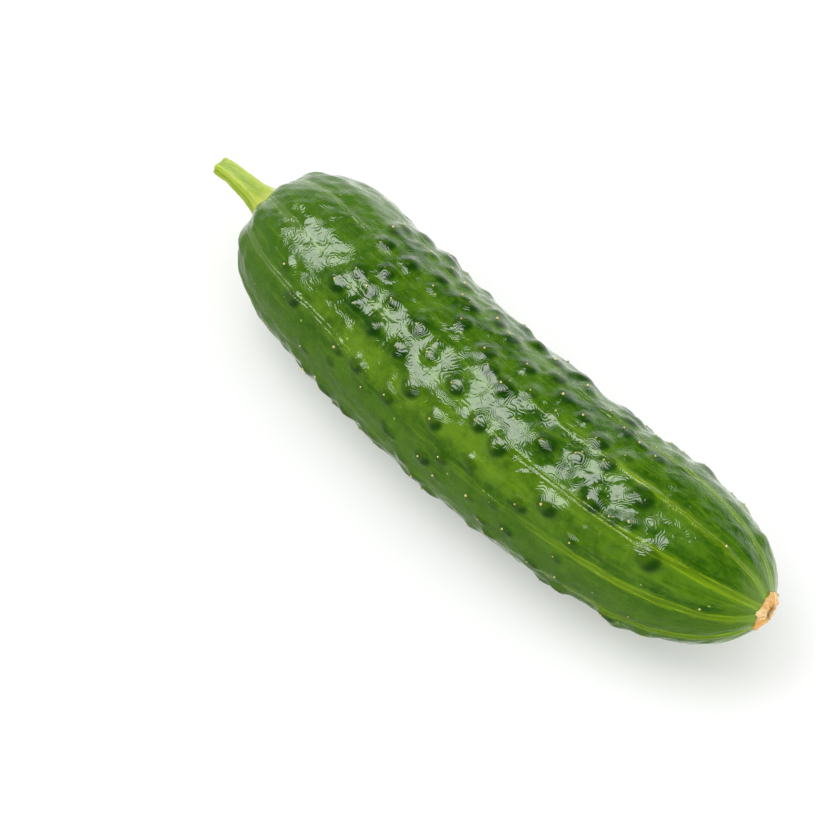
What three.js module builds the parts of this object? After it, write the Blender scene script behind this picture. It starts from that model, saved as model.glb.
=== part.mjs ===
// A short warty salad cucumber, as picked: the fruit, the cut stub of its stalk and its dry flower scar.
// Millimetres. +X runs along the fruit from the stalk to the blossom end and +Z is up.
// The fruit lies on its belly on z = 0 and bends sideways, with the outside of the bend towards -Y.
import * as THREE from "three";

const degree = Math.PI / 180;
const fullTurn = 2 * Math.PI;

// The fruit along its axis.
const fruitLength = 158.9;
const fruitRadius = 20.65;
const slimming = 0.055;
const fullestStation = 68;
const slimmingSpan = 60;
const shoulderCap = { length: 30, power: 2.43 };
const blossomCap = { length: 31.2, power: 2.11 };
const bend = { sagitta: 9.0, skew: 0.048, hook: -3.4, hookLength: 25 };

// Where the stalk and the flower sit.
const dimple = { depth: 3.2, radius: 9.5 };
const shoulderLean = { slope: 0.045, towards: 279 * degree, reach: 28 };
const blossomLean = { slope: 0.05, towards: 14 * degree, reach: 20 };
const blossomFlatRadius = 4.6;
const pieceGap = 0.3;

// The flat that the belly presses into where it rests.
const bellyFlattening = 0.4;

// Eleven shallow pleats run from the stalk to the blossom end.
const pleats = { count: 11, first: 22, depth: 0.42, width: 2.6, shoulderReach: 30, blossomReach: 22 };

// Warts stand in staggered rows, each moved a little from its place.
const wartRows = { first: 22, last: 152, pitch: 6.4, columns: 20, jitter: 0.38 };
const wartShape = { height: 0.9, length: 1.75, width: 1.5, reach: 3.2 };
const smoothBand = { from: 122, to: 147 };

const fruitMesh = { stations: 86, sides: 48, tipLength: 14 };

const stalk = {
  length: 17.4,
  radius: 2.2,
  taper: 0.95,
  baseRadius: 6.8,
  flareLength: 2.2,
  ridge: 0.09,
  ridges: 5,
  cutHollow: 0.4,
};
const stalkMesh = { stations: 20, sides: 30, underRings: [0.35, 0.7] };
const stalkDroop = { side: 1.3, down: 1.9 };
const stalkElbow = { side: 0.5, down: 0.25, rise: 3, from: 4, to: 14 };

const scar = { radius: 4.7, thickness: 1.5, pitRadius: 1.3, pitDepth: 0.7, teeth: 11, toothDepth: 0.35 };
const scarMesh = { sides: 44 };

const skin = new THREE.MeshStandardMaterial({ color: 0x4f7d2c, roughness: 0.32, metalness: 0 });
const stalkSkin = new THREE.MeshStandardMaterial({ color: 0xa9c750, roughness: 0.5, metalness: 0 });
const driedFlower = new THREE.MeshStandardMaterial({ color: 0xd8a85e, roughness: 0.9, metalness: 0 });

// A repeatable number from 0 to 1 for a whole number.
function scatter(seed) {
  const value = Math.sin(seed * 12.9898) * 43758.5453;
  return value - Math.floor(value);
}

function smoothStep(low, high, value) {
  const share = Math.min(Math.max((value - low) / (high - low), 0), 1);
  return share * share * (3 - 2 * share);
}

// The signed angle from one direction round the fruit to another, from -half a turn to half a turn.
function turnBetween(from, to) {
  return Math.atan2(Math.sin(to - from), Math.cos(to - from));
}

// The radius of a rounded cap at a distance from its tip, as a share of the full radius.
function capShare(distance, cap) {
  const inward = Math.max(1 - distance / cap.length, 0);
  return Math.max(1 - inward ** cap.power, 0) ** (1 / cap.power);
}

// The other way round: how far from its tip a cap reaches a share of the full radius.
function capDistance(share, cap) {
  return cap.length * (1 - (1 - share ** cap.power) ** (1 / cap.power));
}

function fullRadius(station) {
  return fruitRadius * (1 - slimming * ((station - fullestStation) / slimmingSpan) ** 2);
}

function bodyRadius(station) {
  const caps = capShare(station, shoulderCap) * capShare(fruitLength - station, blossomCap);
  return fullRadius(station) * caps;
}

// The blossom end is cut flat where the flower scar sits.
const flatStation = fruitLength - capDistance(blossomFlatRadius / fullRadius(fruitLength), blossomCap);

// The axis at a station: its centre, its direction along the fruit and the level direction across it.
function axisFrame(station) {
  const u = (2 * station) / fruitLength - 1;
  const hook = bend.hook * Math.exp(-station / bend.hookLength);
  const bow = (1 - u * u) * (1 + bend.skew * u);
  const bowSlope = -2 * u * (1 + bend.skew * u) + bend.skew * (1 - u * u);
  const slope = (-bend.sagitta * bowSlope * 2) / fruitLength - hook / bend.hookLength;
  const along = new THREE.Vector3(1, slope, 0).normalize();
  const across = new THREE.Vector3(-along.y, along.x, 0);
  const height = fruitRadius - bellyFlattening;
  const centre = new THREE.Vector3(station - fruitLength / 2, hook - bend.sagitta * bow, height);
  return { centre, along, across };
}

// How far the shoulder's skin moves along the axis: in at the stalk's dimple, and out on its fuller side.
function shoulderShift(radius, angle, station) {
  const dent = dimple.depth * Math.exp(-((radius / dimple.radius) ** 2));
  const fade = Math.exp(-((station / shoulderLean.reach) ** 2));
  return dent * fade - shoulderLean.slope * radius * Math.cos(angle - shoulderLean.towards) * fade;
}

// The blossom end also has a fuller side, which the ring round the flower scar takes no part in.
function blossomShift(radius, angle, station) {
  const fade = Math.exp(-(((fruitLength - station) / blossomLean.reach) ** 2));
  const outside = Math.max(radius - blossomFlatRadius, 0);
  return blossomLean.slope * outside * Math.cos(angle - blossomLean.towards) * fade;
}

function pleatAngles() {
  return Array.from({ length: pleats.count }, (_, k) => (pleats.first + (k * 360) / pleats.count) * degree);
}

// A pleat is a soft furrow that is deepest at the two ends of the fruit.
function pleatRelief(station, angle, radius) {
  const shoulder = Math.exp(-((station / pleats.shoulderReach) ** 2));
  const blossom = 0.5 * Math.exp(-(((fruitLength - station) / pleats.blossomReach) ** 2));
  const strength = pleats.depth * (0.15 + shoulder + blossom) * smoothStep(0, 12, radius);
  const furrow = (pleat) => Math.exp(-(((turnBetween(pleat, angle) * radius) / pleats.width) ** 2));
  return -strength * pleatAngles().reduce((sum, pleat) => sum + furrow(pleat), 0);
}

// How many of the places in the rows hold a wart, from none to all: few on the smooth band and at the ends.
function wartDensity(station, degrees) {
  const ends = smoothStep(24, 42, station) * (1 - 0.9 * smoothStep(124, 146, station));
  const onBand = smoothStep(smoothBand.from - 4, smoothBand.from + 3, degrees);
  const offBand = smoothStep(smoothBand.to - 3, smoothBand.to + 4, degrees);
  const band = 1 - 0.9 * onBand * (1 - offBand);
  const lowerSide = 1 - 0.4 * smoothStep(146, 160, degrees) * (1 - smoothStep(300, 330, degrees));
  return 0.92 * ends * band * lowerSide;
}

function placeWarts() {
  const warts = [];
  const rowCount = Math.floor((wartRows.last - wartRows.first) / wartRows.pitch) + 1;
  for (let row = 0; row < rowCount; row += 1) {
    for (let column = 0; column < wartRows.columns; column += 1) {
      const seed = row * wartRows.columns + column + 1;
      const slide = (scatter(seed) - 0.5) * 2 * wartRows.jitter;
      const swing = (scatter(seed + 1000) - 0.5) * 2 * wartRows.jitter;
      const station = wartRows.first + (row + slide) * wartRows.pitch;
      const turns = (column + swing + (row % 2) / 2) / wartRows.columns;
      const degrees = (turns * 360 + 360) % 360;
      const size = 0.7 + 0.5 * scatter(seed + 3000);
      const lower = 1 - 0.3 * smoothStep(146, 160, degrees) * (1 - smoothStep(300, 330, degrees));
      const late = 1 - 0.4 * smoothStep(126, 145, station);
      if (scatter(seed + 2000) < wartDensity(station, degrees)) {
        warts.push({ station, angle: degrees * degree, height: wartShape.height * size * lower * late });
      }
    }
  }
  return warts;
}

// Each wart is a low round mound, a little longer along the fruit than across it.
function wartRelief(warts, station, angle, radius) {
  let relief = 0;
  for (const wart of warts) {
    const lengthwise = (station - wart.station) / wartShape.length;
    const crosswise = (turnBetween(wart.angle, angle) * radius) / wartShape.width;
    const distance = lengthwise * lengthwise + crosswise * crosswise;
    if (distance < wartShape.reach ** 2) {
      relief += wart.height * Math.exp(-distance / 2);
    }
  }
  return relief;
}

// Stations lie close together at the two tips and evenly between them.
function fruitStation(share) {
  const { tipLength } = fruitMesh;
  const evenPart = flatStation - 2 * tipLength;
  const tipShare = (2 * tipLength) / (evenPart + 4 * tipLength);
  const pace = evenPart / (1 - 2 * tipShare);
  if (share < tipShare) {
    return tipLength * (share / tipShare) ** 2;
  }
  if (share > 1 - tipShare) {
    return flatStation - tipLength * ((1 - share) / tipShare) ** 2;
  }
  return tipLength + (share - tipShare) * pace;
}

// A point of the skin: the body's radius, with pleats and warts standing along the skin's own normal.
function skinPoint(station, angle, warts) {
  const step = 0.01;
  const radius = bodyRadius(station);
  const rise = (bodyRadius(station + step) - bodyRadius(station - step)) / (2 * step);
  const tilt = Math.atan(rise);
  const relief = pleatRelief(station, angle, radius) + wartRelief(warts, station, angle, radius);
  const { centre, along, across } = axisFrame(station);
  const outward = new THREE.Vector3(0, 0, Math.sin(angle)).addScaledVector(across, Math.cos(angle));
  const lean = shoulderShift(radius, angle, station) + blossomShift(radius, angle, station);
  const shift = lean - relief * Math.sin(tilt);
  const point = centre.addScaledVector(outward, radius + relief * Math.cos(tilt));
  point.addScaledVector(along, shift);
  point.z = Math.max(point.z, 0);
  return point;
}

// Closes a row of rings, all with the same number of points, with a tip vertex at each end.
function closedLoft(firstTip, rings, lastTip) {
  const sides = rings[0].length;
  const points = [firstTip, ...rings.flat(), lastTip];
  const last = points.length - 1;
  const index = [];
  for (let side = 0; side < sides; side += 1) {
    const next = (side + 1) % sides;
    index.push(0, 1 + side, 1 + next);
    for (let ring = 0; ring + 1 < rings.length; ring += 1) {
      const here = 1 + ring * sides;
      const beyond = here + sides;
      index.push(here + side, beyond + side, beyond + next);
      index.push(here + side, beyond + next, here + next);
    }
    const end = 1 + (rings.length - 1) * sides;
    index.push(last, end + next, end + side);
  }
  const geometry = new THREE.BufferGeometry().setFromPoints(points);
  geometry.setIndex(index);
  geometry.computeVertexNormals();
  return geometry;
}

function ringOf(sides, pointAt) {
  return Array.from({ length: sides }, (_, side) => pointAt((-side * fullTurn) / sides));
}

function makeFruit() {
  const warts = placeWarts();
  const shares = Array.from({ length: fruitMesh.stations }, (_, k) => (k + 1) / fruitMesh.stations);
  const ringAt = (station) => ringOf(fruitMesh.sides, (angle) => skinPoint(station, angle, warts));
  const rings = shares.map(fruitStation).map(ringAt);
  const blossomTip = axisFrame(flatStation).centre;
  const start = axisFrame(0);
  const stalkTip = start.centre.addScaledVector(start.along, dimple.depth);
  return new THREE.Mesh(closedLoft(stalkTip, rings, blossomTip), skin);
}

// How far the stalk stands off the fruit's axis: an elbow above the foot, then a droop to the cut.
function stalkOffset(height) {
  const share = Math.max(height / stalk.length, 0);
  const rise = smoothStep(0, stalkElbow.rise, height);
  const elbow = rise * (1 - smoothStep(stalkElbow.from, stalkElbow.to, height));
  const side = stalkDroop.side * share ** 1.4 + stalkElbow.side * elbow;
  const down = stalkDroop.down * share ** 1.4 + stalkElbow.down * elbow;
  return { side, down };
}

// The level of the stalk's foot, which follows the skin of the dimple a little way off.
function footLevel(radius, angle) {
  const station = capDistance(radius / fullRadius(0), shoulderCap);
  return station + shoulderShift(radius, angle, station) - pieceGap;
}

// The stalk flares into the dimple, and its five-angled section grows out of a round foot.
function makeStalk() {
  const { centre, along, across } = axisFrame(0);
  const at = (radius, angle, level) => {
    const point = centre.clone().addScaledVector(along, level);
    point.addScaledVector(across, Math.cos(angle) * radius);
    point.z += Math.sin(angle) * radius;
    return point;
  };
  const underside = stalkMesh.underRings.map((share) =>
    ringOf(stalkMesh.sides, (turn) => {
      const radius = stalk.baseRadius * share;
      return at(radius, -turn, footLevel(radius, -turn));
    }));
  const sides = Array.from({ length: stalkMesh.stations }, (_, k) => {
    const share = k / (stalkMesh.stations - 1);
    const height = stalk.length * share ** 1.5;
    const spread = stalk.baseRadius - stalk.radius - stalk.taper;
    const flare = spread * Math.exp(-height / stalk.flareLength);
    const offset = stalkOffset(height);
    const slim = stalk.radius + stalk.taper * (1 - height / stalk.length);
    return ringOf(stalkMesh.sides, (turn) => {
      const angle = -turn;
      const ridged = 1 + stalk.ridge * Math.cos(stalk.ridges * angle) * smoothStep(0.1, 0.5, share);
      const radius = (slim + flare) * ridged;
      const level = footLevel(radius, angle) * (1 - share) - height;
      const point = at(radius, angle, level).addScaledVector(across, -offset.side);
      point.z -= offset.down;
      return point;
    });
  });
  const cut = at(0, 0, stalk.cutHollow - stalk.length).addScaledVector(across, -stalkDroop.side);
  cut.z -= stalkDroop.down;
  const foot = at(0, 0, dimple.depth - pieceGap);
  return new THREE.Mesh(closedLoft(foot, [...underside, ...sides], cut), stalkSkin);
}

// The scar is a thin corky button with a toothed edge and a pit where the flower stood.
function makeScar() {
  const { centre, along, across } = axisFrame(flatStation);
  const profile = [
    [scar.radius - 0.6, 0],
    [scar.radius, 0.4],
    [scar.radius - 0.2, 0.9],
    [scar.radius - 1.2, scar.thickness],
    [scar.pitRadius + 0.5, scar.thickness - 0.1],
    [scar.pitRadius - 0.3, scar.thickness - scar.pitDepth],
  ];
  const at = (radius, level, angle) => {
    const point = centre.clone().addScaledVector(along, pieceGap + level);
    point.addScaledVector(across, radius * Math.cos(angle));
    point.z += radius * Math.sin(angle);
    return point;
  };
  const rings = profile.map(([radius, level]) => ringOf(scarMesh.sides, (angle) => {
    const outerShare = smoothStep(scar.pitRadius, scar.radius, radius);
    const tooth = scar.toothDepth * Math.cos(scar.teeth * angle) * outerShare;
    return at(radius + tooth, level, angle);
  }));
  const back = at(0, 0, 0);
  const pit = at(0, scar.thickness - scar.pitDepth - 0.1, 0);
  return new THREE.Mesh(closedLoft(back, rings, pit), driedFlower);
}

// Stands the cucumber on z = 0 with the middle of its box on the origin.
function centred(group) {
  const box = new THREE.Box3().setFromObject(group, true);
  group.position.set(-(box.min.x + box.max.x) / 2, -(box.min.y + box.max.y) / 2, -box.min.z);
  return group;
}

const fruit = makeFruit();
fruit.name = "fruit";
const stem = makeStalk();
stem.name = "stem";
const blossomScar = makeScar();
blossomScar.name = "blossom_scar";

const cucumber = new THREE.Group();
cucumber.add(fruit, stem, blossomScar);
export default centred(cucumber);
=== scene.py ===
import bpy
import math
import numpy as np
from mathutils import Matrix, Vector


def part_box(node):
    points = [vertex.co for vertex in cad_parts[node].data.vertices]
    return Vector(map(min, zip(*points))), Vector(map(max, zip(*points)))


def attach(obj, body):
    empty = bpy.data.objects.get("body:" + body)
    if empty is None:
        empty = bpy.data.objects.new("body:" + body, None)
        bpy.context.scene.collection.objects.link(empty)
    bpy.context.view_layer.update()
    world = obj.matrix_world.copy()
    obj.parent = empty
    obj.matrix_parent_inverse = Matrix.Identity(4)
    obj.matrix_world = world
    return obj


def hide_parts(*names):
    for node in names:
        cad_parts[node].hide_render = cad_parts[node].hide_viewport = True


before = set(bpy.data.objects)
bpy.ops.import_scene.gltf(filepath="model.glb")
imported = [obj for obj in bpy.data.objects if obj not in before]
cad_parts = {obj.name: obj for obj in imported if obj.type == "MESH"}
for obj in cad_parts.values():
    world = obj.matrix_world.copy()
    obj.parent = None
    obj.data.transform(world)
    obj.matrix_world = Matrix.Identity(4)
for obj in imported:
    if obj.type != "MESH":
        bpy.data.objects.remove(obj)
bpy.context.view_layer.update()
mm = 0.001

# shape, in millimetres and degrees; station runs along the fruit from the stalk
fruitForm = {
    "length": 158.9, "radius": 20.65, "bellyFlattening": 0.4,
    "slimming": 0.055, "fullestStation": 68.0, "slimmingSpan": 60.0,
    "shoulderLength": 30.0, "shoulderPower": 2.43,
    "blossomLength": 31.2, "blossomPower": 2.11, "blossomFlatRadius": 4.6,
    "bend": 9.0, "bendSkew": 0.048, "hook": -3.4, "hookLength": 25.0,
    "dimpleDepth": 3.2, "dimpleRadius": 9.5,
    "leanSlope": 0.045, "leanTowards": 279.0, "leanReach": 28.0,
    "endLeanSlope": 0.05, "endLeanTowards": 14.0, "endLeanReach": 20.0,
    "rows": 318, "sides": 308, "tipLength": 14.0,
}
pleats = {
    "count": 11, "first": 14.5, "twist": 12.5, "twistFrom": 35.0, "twistTo": 105.0, "wander": 0.9,
    "depth": 0.5, "width": 2.6, "shoulderReach": 26.0, "blossomReach": 24.0,
    "shoulderDepth": 0.75, "puff": 0.62,
    "ridgeOffset": 0.5, "ridgeSpread": 0.15, "ridgeWaver": 0.14, "ridgeWidth": 0.36, "ridgeHeight": 0.1,
    "apart": (1.0, 0.9, 0.45, 1.05, 1.0, 0.9, 1.0, 0.8, 1.0, 0.6, 0.9),
    "stalkStrengths": (0.6, 0.6, 0.5, 0.15, 1.0, 0.7, 0.6, 0.5, 0.6, 0.7, 0.5),
    "blossomStrengths": (0.8, 0.9, 0.8, 1.0, 0.8, 0.9, 0.8, 0.9, 0.8, 0.9, 0.8),
}
warts = {
    "first": 22.0, "last": 152.0, "pitch": 6.4, "columns": 20, "jitter": 0.38,
    "height": 0.9, "length": 1.75, "width": 1.5, "reach": 3.2,
    "nipple": 0.08, "nippleWidth": 0.3, "flatness": 2.6, "steepness": 1.35,
    "bandFrom": 122.0, "bandTo": 147.0, "clearance": 5.2,
}
# the largest warts: station in mm, degrees round the fruit, size
largeWarts = {
    "count": 12, "first": 46.0, "last": 136.0, "lowest": 92.0, "highest": 142.0,
    "turnStep": 0.618, "smallest": 1.0, "largest": 1.35,
}
# swells of the skin: height, number of waves, longest and shortest, seed, stretch along the fruit
skinSwells = [
    (0.09, 26, 34.0, 9.0, 5, 1.0), (0.07, 46, 7.0, 3.0, 6, 1.0), (0.06, 40, 8.0, 3.5, 7, 8.0),
]


def smoothStep(low, high, value):
    share = np.clip((value - low) / (high - low), 0.0, 1.0)
    return share * share * (3.0 - 2.0 * share)


def scatter(seed):
    value = np.sin(seed * 12.9898) * 43758.5453
    return value - np.floor(value)


def turnBetween(start, end):  # signed angle between two directions round the fruit
    return np.arctan2(np.sin(end - start), np.cos(end - start))


# radius of a rounded cap at a distance from its tip: (1 - (1 - d / length) ^ power) ^ (1 / power)
def capShare(distance, length, power):
    inward = np.maximum(1.0 - distance / length, 0.0)
    return np.maximum(1.0 - inward ** power, 0.0) ** (1.0 / power)


def capDistance(share, length, power):  # the same rule solved for the distance
    return length * (1.0 - (1.0 - share ** power) ** (1.0 / power))


def fullRadius(station):
    f = fruitForm
    return f["radius"] * (1.0 - f["slimming"] * ((station - f["fullestStation"]) / f["slimmingSpan"]) ** 2)


def bodyRadius(station):
    f = fruitForm
    stalkCap = capShare(station, f["shoulderLength"], f["shoulderPower"])
    blossomCap = capShare(f["length"] - station, f["blossomLength"], f["blossomPower"])
    return fullRadius(station) * stalkCap * blossomCap


def flatStation():
    f = fruitForm
    share = f["blossomFlatRadius"] / fullRadius(f["length"])
    return f["length"] - capDistance(share, f["blossomLength"], f["blossomPower"])


# centre line: a bow (1 - u^2)(1 + skew u) to -Y with a small hook at the stalk; u runs from -1 to 1
def axisFrame(station):
    f = fruitForm
    station = np.asarray(station, float)
    u = 2.0 * station / f["length"] - 1.0
    hook = f["hook"] * np.exp(-station / f["hookLength"])
    bow = (1.0 - u * u) * (1.0 + f["bendSkew"] * u)
    bowSlope = -2.0 * u * (1.0 + f["bendSkew"] * u) + f["bendSkew"] * (1.0 - u * u)
    slope = -f["bend"] * bowSlope * 2.0 / f["length"] - hook / f["hookLength"]
    flat = np.zeros_like(station)
    along = np.stack([np.ones_like(station), slope, flat], -1)
    along /= np.linalg.norm(along, axis=-1, keepdims=True)
    across = np.stack([-along[..., 1], along[..., 0], flat], -1)
    height = flat + f["radius"] - f["bellyFlattening"]
    centre = np.stack([station - f["length"] / 2.0, hook - f["bend"] * bow, height], -1)
    return centre, along, across


def shoulderShift(radius, angle, station):  # the dimple round the stalk, and the fuller side
    f = fruitForm
    dent = f["dimpleDepth"] * np.exp(-(radius / f["dimpleRadius"]) ** 2)
    fade = np.exp(-(station / f["leanReach"]) ** 2)
    return (dent - f["leanSlope"] * radius * np.cos(angle - math.radians(f["leanTowards"]))) * fade


def blossomShift(radius, angle, station):  # the fuller side of the blossom end
    f = fruitForm
    fade = np.exp(-((f["length"] - station) / f["endLeanReach"]) ** 2)
    outside = np.maximum(radius - f["blossomFlatRadius"], 0.0)
    return f["endLeanSlope"] * outside * np.cos(angle - math.radians(f["endLeanTowards"])) * fade


def pleatAngle(k, station):
    p = pleats
    wander = p["wander"] * np.sin(station / 17.0 + 2.1 * k) * smoothStep(15.0, 50.0, station)
    twist = p["twist"] * smoothStep(p["twistFrom"], p["twistTo"], station)
    return np.radians(p["first"] + k * 360.0 / p["count"] + twist + wander)


# distance in mm along the skin to the nearest pleat, and which pleat that is
def pleatGap(station, angle, radius):
    gaps = np.abs([turnBetween(pleatAngle(k, station), angle) for k in range(pleats["count"])])
    return np.min(gaps, axis=0) * radius, np.argmin(gaps, axis=0)


# how far the two raised lines of a pleat stand from its middle: each pleat has its own and it wavers
def ridgeOffset(station, nearest):
    p = pleats
    waver = p["ridgeWaver"] * np.sin(station / 3.7 + 1.9 * nearest) * np.sin(station / 8.3 + 0.7 * nearest)
    spread = p["ridgeOffset"] + p["ridgeSpread"] * smoothStep(110.0, 150.0, station)
    return (spread + waver) * np.array(p["apart"])[nearest]


def ridgeShare(station, radius, nearest):  # the raised lines come and go along the fruit
    p = pleats
    waves = 0.5 + 0.5 * np.sin(station / 9.0 + 2.4 * nearest)
    stalkEnd = np.exp(-((station - 28.0) / 22.0) ** 2) * np.array(p["stalkStrengths"])[nearest]
    blossomEnd = smoothStep(75.0, 125.0, station) * np.array(p["blossomStrengths"])[nearest]
    strength = np.clip(0.15 + stalkEnd + blossomEnd, 0.0, 1.0) * (0.55 + 0.45 * waves)
    return strength * smoothStep(5.0, 12.0, radius)


# lobes stand out between soft furrows, most of all at the shoulder; two raised lines run beside each furrow
def pleatRelief(station, radius, gap, nearest):
    p = pleats
    shoulder = np.exp(-(station / p["shoulderReach"]) ** 2)
    blossom = np.exp(-((fruitForm["length"] - station) / p["blossomReach"]) ** 2)
    strength = p["depth"] * (0.12 + 0.6 * blossom) + p["shoulderDepth"] * shoulder
    furrow = np.exp(-(gap / p["width"]) ** 2)
    ridge = np.exp(-((gap - ridgeOffset(station, nearest)) / p["ridgeWidth"]) ** 2)
    lines = p["ridgeHeight"] * ridge * ridgeShare(station, radius, nearest)
    puff = p["puff"] * shoulder * smoothStep(9.0, 16.0, radius)
    return lines + puff - strength * furrow * smoothStep(0.0, 9.0, radius)


def lowerSideShare(degrees):  # 1 on the lower side and the belly, 0 on top
    return smoothStep(146.0, 160.0, degrees) * (1.0 - smoothStep(300.0, 330.0, degrees))


def wartSpread(size):  # how wide a wart of a given size is
    return 0.3 + 0.66 * size


# warts thin out towards both ends, on the smooth band and a little on the lower side
def wartDensity(station, degrees):
    ends = smoothStep(24.0, 42.0, station) * (1.0 - 0.9 * smoothStep(124.0, 146.0, station))
    onBand = smoothStep(warts["bandFrom"] - 4.0, warts["bandFrom"] + 3.0, degrees)
    offBand = smoothStep(warts["bandTo"] - 3.0, warts["bandTo"] + 4.0, degrees)
    return 0.92 * ends * (1.0 - 0.6 * onBand * (1.0 - offBand)) * (1.0 - 0.25 * lowerSideShare(degrees))


# warts stand in staggered rows, each moved a little from its place; the density and the large ones thin them
def placeLargeWarts():  # evenly along the middle band, larger towards the blossom end
    w = largeWarts
    order = np.arange(w["count"])
    share = order / (w["count"] - 1.0)
    turn = (order * w["turnStep"]) % 1.0
    return np.stack([w["first"] + (w["last"] - w["first"]) * share,
                     w["lowest"] + (w["highest"] - w["lowest"]) * turn,
                     w["smallest"] + (w["largest"] - w["smallest"]) * share], axis=1)


def placeWarts():
    w = warts
    rows = int((w["last"] - w["first"]) // w["pitch"]) + 1
    row, column = np.meshgrid(np.arange(rows), np.arange(w["columns"]), indexing="ij")
    seed = row * w["columns"] + column + 1.0
    station = w["first"] + (row + (scatter(seed) - 0.5) * 2.0 * w["jitter"]) * w["pitch"]
    swing = (scatter(seed + 1000) - 0.5) * 2.0 * w["jitter"]
    degrees = ((column + swing + (row % 2) / 2.0) / w["columns"] * 360.0 + 360.0) % 360.0
    late = 1.0 - 0.4 * smoothStep(126.0, 145.0, station)
    size = (0.52 + 0.66 * scatter(seed + 3000)) * (1.0 - 0.15 * lowerSideShare(degrees)) * late
    large = placeLargeWarts()
    alongGap = station[..., None] - large[:, 0]
    acrossGap = turnBetween(np.radians(large[:, 1]), np.radians(degrees)[..., None]) * fruitForm["radius"]
    clear = np.hypot(alongGap, acrossGap).min(-1) > w["clearance"]
    kept = (scatter(seed + 2000) < wartDensity(station, degrees)) & clear
    allStations = np.concatenate([station[kept], large[:, 0]])
    allAngles = np.radians(np.concatenate([degrees[kept], large[:, 1]]))
    return allStations, allAngles, np.concatenate([size[kept], large[:, 2]])


# each wart is a dome, height x exp(-(d^2 / flatness) ^ steepness), with a small nipple on its stalk side
def wartRelief(station, angle, radius, placed):
    w = warts
    relief, mound, paintedLeeShade = np.zeros((3,) + station.shape)
    for wartStation, wartAngle, size in zip(*placed):
        spread = wartSpread(size)
        window = w["reach"] * w["length"] * spread
        near = slice(*np.searchsorted(station[:, 0], [wartStation - window, wartStation + window]))
        lengthwise = (station[near] - wartStation) / (w["length"] * spread)
        crosswise = turnBetween(wartAngle, angle[near]) * radius[near] / (w["width"] * spread)
        square = lengthwise ** 2 + crosswise ** 2
        bell = np.exp(-(square / w["flatness"]) ** w["steepness"])
        nipple = np.exp(-((lengthwise + 0.5) ** 2 + crosswise ** 2) / (2.0 * w["nippleWidth"] ** 2))
        relief[near] += w["height"] * size * (bell + w["nipple"] * nipple) * (square < w["reach"] ** 2)
        mound[near] = np.maximum(mound[near], bell * min(size, 1.0))
        # painted shade: this marks the wart's flank away from the stalk, turned from the key light, to be
        # darkened in the colour
        away = smoothStep(-0.7, 1.5, 0.8 * lengthwise + 0.5 * crosswise)
        paintedLeeShade[near] = np.maximum(paintedLeeShade[near], bell * away * min(size, 1.0))
    return relief, mound, paintedLeeShade


# slow swells of the skin: a sum of seeded waves that close round the fruit
def swell(station, angle, count, longest, shortest, seed, stretch=1.0):
    random = np.random.default_rng(seed)
    total = np.zeros_like(station)
    for _ in range(count):
        length = random.uniform(shortest, longest)
        most = int(2 * math.pi * fruitForm["radius"] / length) + 1
        turns = random.integers(int(most * (0.5 if stretch > 1.0 else 0.0)) + 1, most + 1)
        phase = random.uniform(0.0, 2.0 * math.pi)
        lengthwise = 2.0 * math.pi / (length * stretch) * random.choice([-1.0, 1.0])
        lengthwise *= random.uniform(0.3, 1.0)
        total += np.cos(lengthwise * station + turns * angle + phase)
    return total / math.sqrt(count / 2.0)


# stations lie close together at the two tips and evenly between them
def stationAt(share):
    tip = fruitForm["tipLength"]
    even = flatStation() - 2.0 * tip
    tipShare = 2.0 * tip / (even + 4.0 * tip)
    middle = tip + (share - tipShare) * even / (1.0 - 2.0 * tipShare)
    start = tip * (share / tipShare) ** 2
    end = flatStation() - tip * ((1.0 - share) / tipShare) ** 2
    return np.where(share < tipShare, start, np.where(share > 1.0 - tipShare, end, middle))


# skin point: centre + radius outwards, with the relief standing along the skin's own normal
def skinPoints(station, angle, relief):
    radius = bodyRadius(station)
    step = 0.01
    tilt = np.arctan((bodyRadius(station + step) - bodyRadius(station - step)) / (2.0 * step))
    centre, along, across = axisFrame(station)
    outward = across * np.cos(angle)[..., None]
    outward[..., 2] += np.sin(angle)
    lean = shoulderShift(radius, angle, station) + blossomShift(radius, angle, station)
    shift = lean - relief * np.sin(tilt)
    points = centre + outward * (radius + relief * np.cos(tilt))[..., None] + along * shift[..., None]
    points[..., 2] = np.maximum(points[..., 2], 0.0)
    return points


# closes a grid of rings (rows x sides) with one tip vertex at each end; faces look outwards
def closedRings(name, rings, firstTip, lastTip, flip=False):
    rows, sides = rings.shape[:2]
    vertices = np.concatenate([[firstTip], rings.reshape(-1, 3), [lastTip]])
    here = 1 + np.arange(rows - 1)[:, None] * sides + np.arange(sides)[None, :]
    beside = 1 + np.arange(rows - 1)[:, None] * sides + (np.arange(sides)[None, :] + 1) % sides
    quads = np.stack([here, beside, beside + sides, here + sides], -1).reshape(-1, 4)
    first = 1 + np.arange(sides)
    after = 1 + (np.arange(sides) + 1) % sides
    end = (rows - 1) * sides
    startFan = np.stack([np.zeros(sides, int), after, first], -1)
    endFan = np.stack([np.full(sides, len(vertices) - 1), first + end, after + end], -1)
    fans = np.concatenate([startFan, endFan])
    if flip:
        quads, fans = quads[:, ::-1], fans[:, ::-1]
    return meshFrom(name, vertices * mm, quads, fans)


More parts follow.
